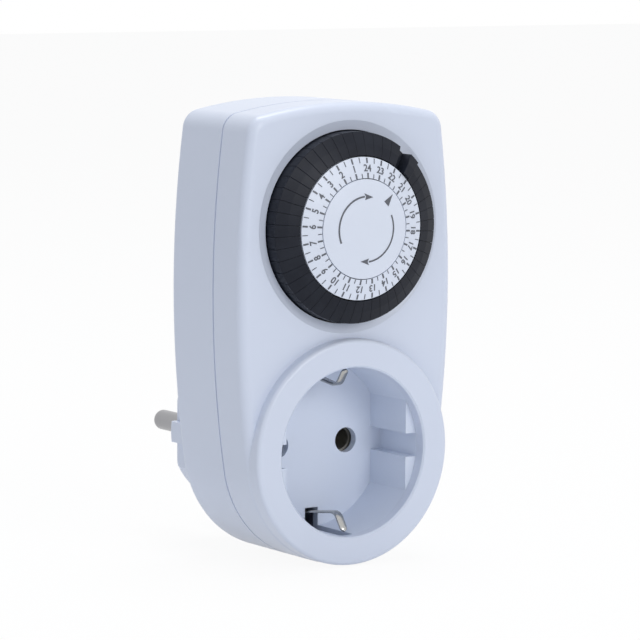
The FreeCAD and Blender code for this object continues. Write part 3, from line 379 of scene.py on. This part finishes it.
def band(bm, low, high):
    """Faces between two rings with the same number of corners."""
    faces = []
    for i in range(len(low)):
        j = (i + 1) % len(low)
        faces.append(bm.faces.new((low[i], low[j], high[j], high[i])))
    return faces


def on_dial(radius, degrees, y):
    """Point at a radius and a clockwise angle from the top of the dial."""
    a = math.radians(degrees)
    return Vector((radius * math.sin(a), y, DIAL_Z + radius * math.cos(a)))


def dome_y(radius):
    """Front of the domed dial at a radius."""
    share = (DOME_EDGE_RADIUS ** 2 - radius ** 2) / DOME_RADIUS ** 2
    return DOME_EDGE_Y - DOME_RISE * share


def on_dome(side, out, turn_deg, lift):
    """Point sideways and outwards from the dial's middle, turned with its mark, above the dome."""
    radius = math.hypot(side, out)
    degrees = turn_deg + math.degrees(math.atan2(side, out))
    return on_dial(radius, degrees, dome_y(radius) - lift)


def printed_shape(bm, corners):
    """Thin raised print over a flat outline of (sideways, outwards, turn) points on the dome."""
    low, high = ([bm.verts.new(on_dome(*corner, lift)) for corner in corners] for lift in (-INK, INK))
    bm.faces.new(high)
    bm.faces.new(low[::-1])
    band(bm, low, high)


def tick(bm, degrees, inner, outer, width):
    half = width / 2
    printed_shape(bm, [(-half, inner, degrees), (half, inner, degrees),
                       (half, outer, degrees), (-half, outer, degrees)])


def hour_ticks():
    """Two rings of ticks, broad at the hours and fine at the half hours."""
    bm = bmesh.new()
    for i in range(TABS):
        degrees = FIRST_HOUR_DEG - i * TAB_DEG
        on_hour = i % TABS_PER_HOUR == 0
        width = HOUR_TICK_WIDTH if on_hour else HALF_HOUR_TICK_WIDTH
        inner_end = INNER_HOUR_TICK_END if on_hour else INNER_HALF_HOUR_TICK_END
        tick(bm, degrees, OUTER_TICK_START, OUTER_TICK_END, width)
        tick(bm, degrees, INNER_TICK_START, inner_end, width)
    new_piece("dial_ticks", bm, INK_GREY, "dial")


def digit_mesh(text):
    """A number as a mesh in its own plane, as thick as the print on both sides."""
    curve = bpy.data.curves.new("number", "FONT")
    curve.body = text
    curve.size = DIGIT_HEIGHT
    curve.align_x = "CENTER"
    curve.align_y = "CENTER"
    curve.extrude = INK
    curve.offset = DIGIT_BOLD
    curve.resolution_u = DIGIT_CURVE_STEPS
    curve.space_character = DIGIT_SPACING
    holder = linked(bpy.data.objects.new("number", curve))
    bpy.context.view_layer.update()
    evaluated = holder.evaluated_get(bpy.context.evaluated_depsgraph_get())
    mesh = bpy.data.meshes.new_from_object(evaluated)
    bpy.data.objects.remove(holder)
    bpy.data.curves.remove(curve)
    return mesh


def hour_numbers():
    """Numbers 1 to 24, each centred on its mark and laid on the dome."""
    bm = bmesh.new()
    for hour in range(1, HOURS + 1):
        mesh = digit_mesh(str(hour))
        xs = [v.co.x for v in mesh.vertices]
        ys = [v.co.y for v in mesh.vertices]
        mid_x = (min(xs) + max(xs)) / 2
        mid_y = (min(ys) + max(ys)) / 2
        turn_deg = FIRST_HOUR_DEG - hour * HOUR_DEG
        for v in mesh.vertices:
            side = (v.co.x - mid_x) * DIGIT_NARROW
            out = DIGIT_RADIUS + v.co.y - mid_y
            v.co = on_dome(side, out, turn_deg, v.co.z)
        bm.from_mesh(mesh)
        bpy.data.meshes.remove(mesh)
    new_piece("dial_numbers", bm, INK_GREY, "dial")


def cap_print():
    """The two turning arrows and the pointer on the fixed cap."""
    bm = bmesh.new()
    head_deg = math.degrees(HEAD_LENGTH / ARC_RADIUS)
    notch_deg = math.degrees(HEAD_NOTCH / ARC_RADIUS)
    for start, stop in ARROWS_DEG:
        base = stop - head_deg
        marks = [start + (base - start) * i / ARC_STEPS for i in range(ARC_STEPS + 1)]
        inner, outer = ([(0.0, ARC_RADIUS + side * ARC_WIDTH / 2, degrees) for degrees in marks]
                        for side in (-1, 1))
        for i in range(ARC_STEPS):
            printed_shape(bm, [inner[i], inner[i + 1], outer[i + 1], outer[i]])
        for side in (-1, 1):
            head = [(0.0, ARC_RADIUS, base + notch_deg), (0.0, ARC_RADIUS, stop),
                    (0.0, ARC_RADIUS + side * HEAD_WIDTH / 2, base)]
            printed_shape(bm, head[::side])
    half = POINTER_WIDTH / 2
    printed_shape(bm, [(-half, POINTER_BASE, POINTER_DEG), (half, POINTER_BASE, POINTER_DEG),
                       (0.0, POINTER_TIP, POINTER_DEG)])
    bmesh.ops.remove_doubles(bm, verts=bm.verts[:], dist=WELD)
    new_piece("cap_print", bm, INK_GREY, "case")


def tab_shape(bm, middle_deg, push):
    """One tab: the wedge section swept over its angle in steps, with softened edges."""
    half = TAB_DEG / 2 - TAB_GAP_DEG / 2
    sections = []
    for i in range(TAB_STEPS + 1):
        degrees = middle_deg - half + 2 * half * i / TAB_STEPS
        sections.append([bm.verts.new(on_dial(r, degrees, y + push)) for r, y in TAB_PROFILE])
    faces = [bm.faces.new(sections[0]), bm.faces.new(sections[-1][::-1])]
    for before, after in zip(sections, sections[1:]):
        faces += band(bm, before, after)
    bm.normal_update()
    bmesh.ops.recalc_face_normals(bm, faces=faces)
    edges = dict.fromkeys(e for f in faces for e in f.edges)
    sharp = [e for e in edges if e.calc_face_angle(0.0) > math.radians(TAB_SHARP_DEG)]
    bmesh.ops.bevel(bm, geom=sharp, offset=TAB_EDGE, segments=TAB_EDGE_STEPS,
                    profile=TAB_EDGE_FULLNESS, affect="EDGES")


def tab_foot(bm, middle_deg, push):
    """Square foot under a tab, down through its slot in the carrier."""
    a = math.radians(middle_deg)
    across = Vector((math.cos(a), 0.0, -math.sin(a)))
    outline = ((TAB_FOOT_INNER, -TAB_FOOT_HALF), (TAB_FOOT_INNER, TAB_FOOT_HALF),
               (TAB_FOOT_OUTER, TAB_FOOT_HALF), (TAB_FOOT_OUTER, -TAB_FOOT_HALF))
    top, bottom = ([bm.verts.new(on_dial(radius, middle_deg, y + push) + across * side)
                    for radius, side in outline]
                   for y in (TAB_BACK_Y - TAB_FOOT_SUNK, CARRIER_Y + TAB_FOOT_DEPTH))
    bm.faces.new(top)
    bm.faces.new(bottom[::-1])
    band(bm, top, bottom)


def tabs():
    """Tabs with softened edges in place of the plain ones, one piece for each moving block."""
    for name in sorted(n for n in frame["nodes"] if n.startswith("tab")):
        if name == "tab_pressed":
            members = [PRESSED_TAB]
        else:
            first = int(name.split("_")[2]) * TABS_PER_HOUR
            members = [i for i in range(first, first + TABS_PER_BLOCK) if i != PRESSED_TAB]
        bm = bmesh.new()
        for index in members:
            middle_deg = FIRST_HOUR_DEG - (index + 0.5) * TAB_DEG
            push = TAB_PUSH.get(index, 0.0)
            tab_shape(bm, middle_deg, push)
            tab_foot(bm, middle_deg, push)
        piece = new_piece(name + "_finished", bm, MATERIALS["tab_black"], name)
        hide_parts(name)


def clip_line():
    """The clip's middle line, its corners replaced by short curves and its end closely stepped."""
    points = [Vector((0.0, *point)) for point in CLIP_PATH]
    line = [points[0]]
    for a, b, c in zip(points, points[1:], points[2:]):
        start = b + (a - b).normalized() * min(CLIP_ROUNDING, (a - b).length / 2)
        end = b + (c - b).normalized() * min(CLIP_ROUNDING, (c - b).length / 2)
        for i in range(CLIP_STEPS + 1):
            t = i / CLIP_STEPS
            line.append(start * (1 - t) ** 2 + b * 2 * t * (1 - t) + end * t ** 2)
    last_bend = line[-1]
    end_steps = 2 * CLIP_STEPS
    for i in range(1, end_steps + 1):
        line.append(last_bend.lerp(points[-1], math.sin(math.pi / 2 * i / end_steps)))
    return line


def clip_half_width(gone, left):
    """Half width of the strip: wide at its root, narrow at its free end, rounded at the tip."""
    taper = min(max((gone - CLIP_TAPER_START) / CLIP_TAPER_LENGTH, 0.0), 1.0)
    half = (CLIP_WIDE + (CLIP_NARROW - CLIP_WIDE) * taper) / 2
    if left < half:
        half = max(math.sqrt(half ** 2 - (half - left) ** 2), CLIP_TIP_HALF)
    return half


def clip_section(half):
    """Outline of the strip across its length as (sideways, outwards), with its corners cut."""
    thick = CLIP_THICK / 2
    edge = min(CLIP_EDGE, half / 2)
    return ((half, thick - edge), (half - edge, thick), (edge - half, thick), (-half, thick - edge),
            (-half, edge - thick), (edge - half, -thick), (half - edge, -thick), (half, edge - thick))


def earth_clip(node, body, up):
    """Formed spring strip with rounded bends, edges and tip, in place of the plain clip."""
    line = clip_line()
    lengths = [(b - a).length for a, b in zip(line, line[1:])]
    total = sum(lengths)
    bm = bmesh.new()
    rings = []
    for i, point in enumerate(line):
        ahead = (line[min(i + 1, len(line) - 1)] - line[max(i - 1, 0)]).normalized()
        normal = Vector((0.0, -ahead.z, ahead.y))
        gone = sum(lengths[:i])
        ring = []
        for side, out in clip_section(clip_half_width(gone, total - gone)):
            place = point + normal * out
            ring.append(bm.verts.new(Vector((side, place.y, place.z * up))))
        rings.append(ring)
    bm.faces.new(rings[0])
    for before, after in zip(rings, rings[1:]):
        band(bm, before, after)
    bm.faces.new(rings[-1][::-1])
    piece = new_piece(node + "_formed", bm, MATERIALS["spring_steel"], body)
    smooth(piece, CLIP_SHARP_DEG)
    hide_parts(node)


def camera():
    """Camera at the photograph's place, turn and focal length."""
    data = bpy.data.cameras.new("photo_camera")
    data.sensor_width = SENSOR_MM
    data.lens = CAMERA_FOCAL_PX * SENSOR_MM / FRAME_PX
    data.clip_start, data.clip_end = CAMERA_CLIP
    obj = linked(bpy.data.objects.new("photo_camera", data))
    back = CAMERA_RIGHT.cross(CAMERA_UP).normalized()
    turn = Matrix((CAMERA_RIGHT, CAMERA_UP, back)).transposed().to_4x4()
    obj.matrix_world = Matrix.Translation(CAMERA_PLACE + CAMERA_RIGHT * CAMERA_NUDGE) @ turn
    bpy.context.scene.camera = obj


def area_lamp(name, place, size, power, colour):
    """Round soft lamp aimed at the front of the object."""
    data = bpy.data.lights.new(name, "AREA")
    data.shape = "DISK"
    data.size = size
    data.energy = power
    data.color = colour
    obj = linked(bpy.data.objects.new(name, data))
    obj.location = place
    aim = Vector(LAMP_TARGET) - Vector(place)
    obj.rotation_euler = aim.to_track_quat("-Z", "Y").to_euler()


def lamps():
    area_lamp("key", (0.10, -1.05, 0.45), size=0.5, power=3.2, colour=(1.0, 0.995, 0.985))
    area_lamp("fill", (-0.95, -0.55, 0.30), size=0.8, power=0.50, colour=(0.80, 0.90, 1.0))
    area_lamp("top", (0.12, 0.05, 1.0), size=0.6, power=5.4, colour=(1.0, 1.0, 1.0))


def floor():
    """Pale floor that looks nearly white but keeps the object's shadow."""
    bm = bmesh.new()
    bmesh.ops.create_grid(bm, x_segments=2, y_segments=2, size=FLOOR_HALF)
    mesh = bpy.data.meshes.new("floor")
    bm.to_mesh(mesh)
    bm.free()
    obj = linked(bpy.data.objects.new("floor", mesh))
    obj.location = (0.0, 0.0, FLOOR_Z - FLOOR_GAP)
    m = Material("pale_floor")
    m.set(Base_Color=rgba(0.90, 0.91, 0.93), Roughness=0.9)
    glow = m.node("ShaderNodeEmission", values={"Color": rgba(1.0, 1.0, 1.0), "Strength": 1.0})
    plain = Wire(m, m.shader.outputs[0])
    factor = m.background_seen() * FLOOR_GLOW
    surface = m.node("ShaderNodeMixShader", values={0: factor, 1: plain, 2: glow})
    m.put(m.nodes["Material Output"].inputs["Surface"], surface)
    mesh.materials.append(m.material)


def world():
    """White for what the camera, gloss and glass see, and a soft even light for the rest."""
    studio = bpy.data.worlds.new("studio")
    bpy.context.scene.world = studio
    studio.use_nodes = True
    shading = Shading(studio.node_tree)
    shading.nodes.clear()
    white = shading.node("ShaderNodeBackground", values={"Color": rgba(1.0, 1.0, 1.0), "Strength": 1.0})
    soft = shading.node("ShaderNodeBackground", values={"Color": rgba(0.96, 0.975, 1.0),
                                                        "Strength": AMBIENT})
    surface = shading.node("ShaderNodeMixShader",
                           values={0: shading.background_seen(), 1: soft, 2: white})
    shading.put(shading.nodes.new("ShaderNodeOutputWorld").inputs["Surface"], surface)


bpy.context.scene.view_settings.view_transform = "Standard"
camera()
world()
lamps()
floor()
finish_nodes()
hour_ticks()
hour_numbers()
cap_print()
tabs()
earth_clip("earth_clip_top", "clip_top", up=1)
earth_clip("earth_clip_bottom", "clip_bottom", up=-1)
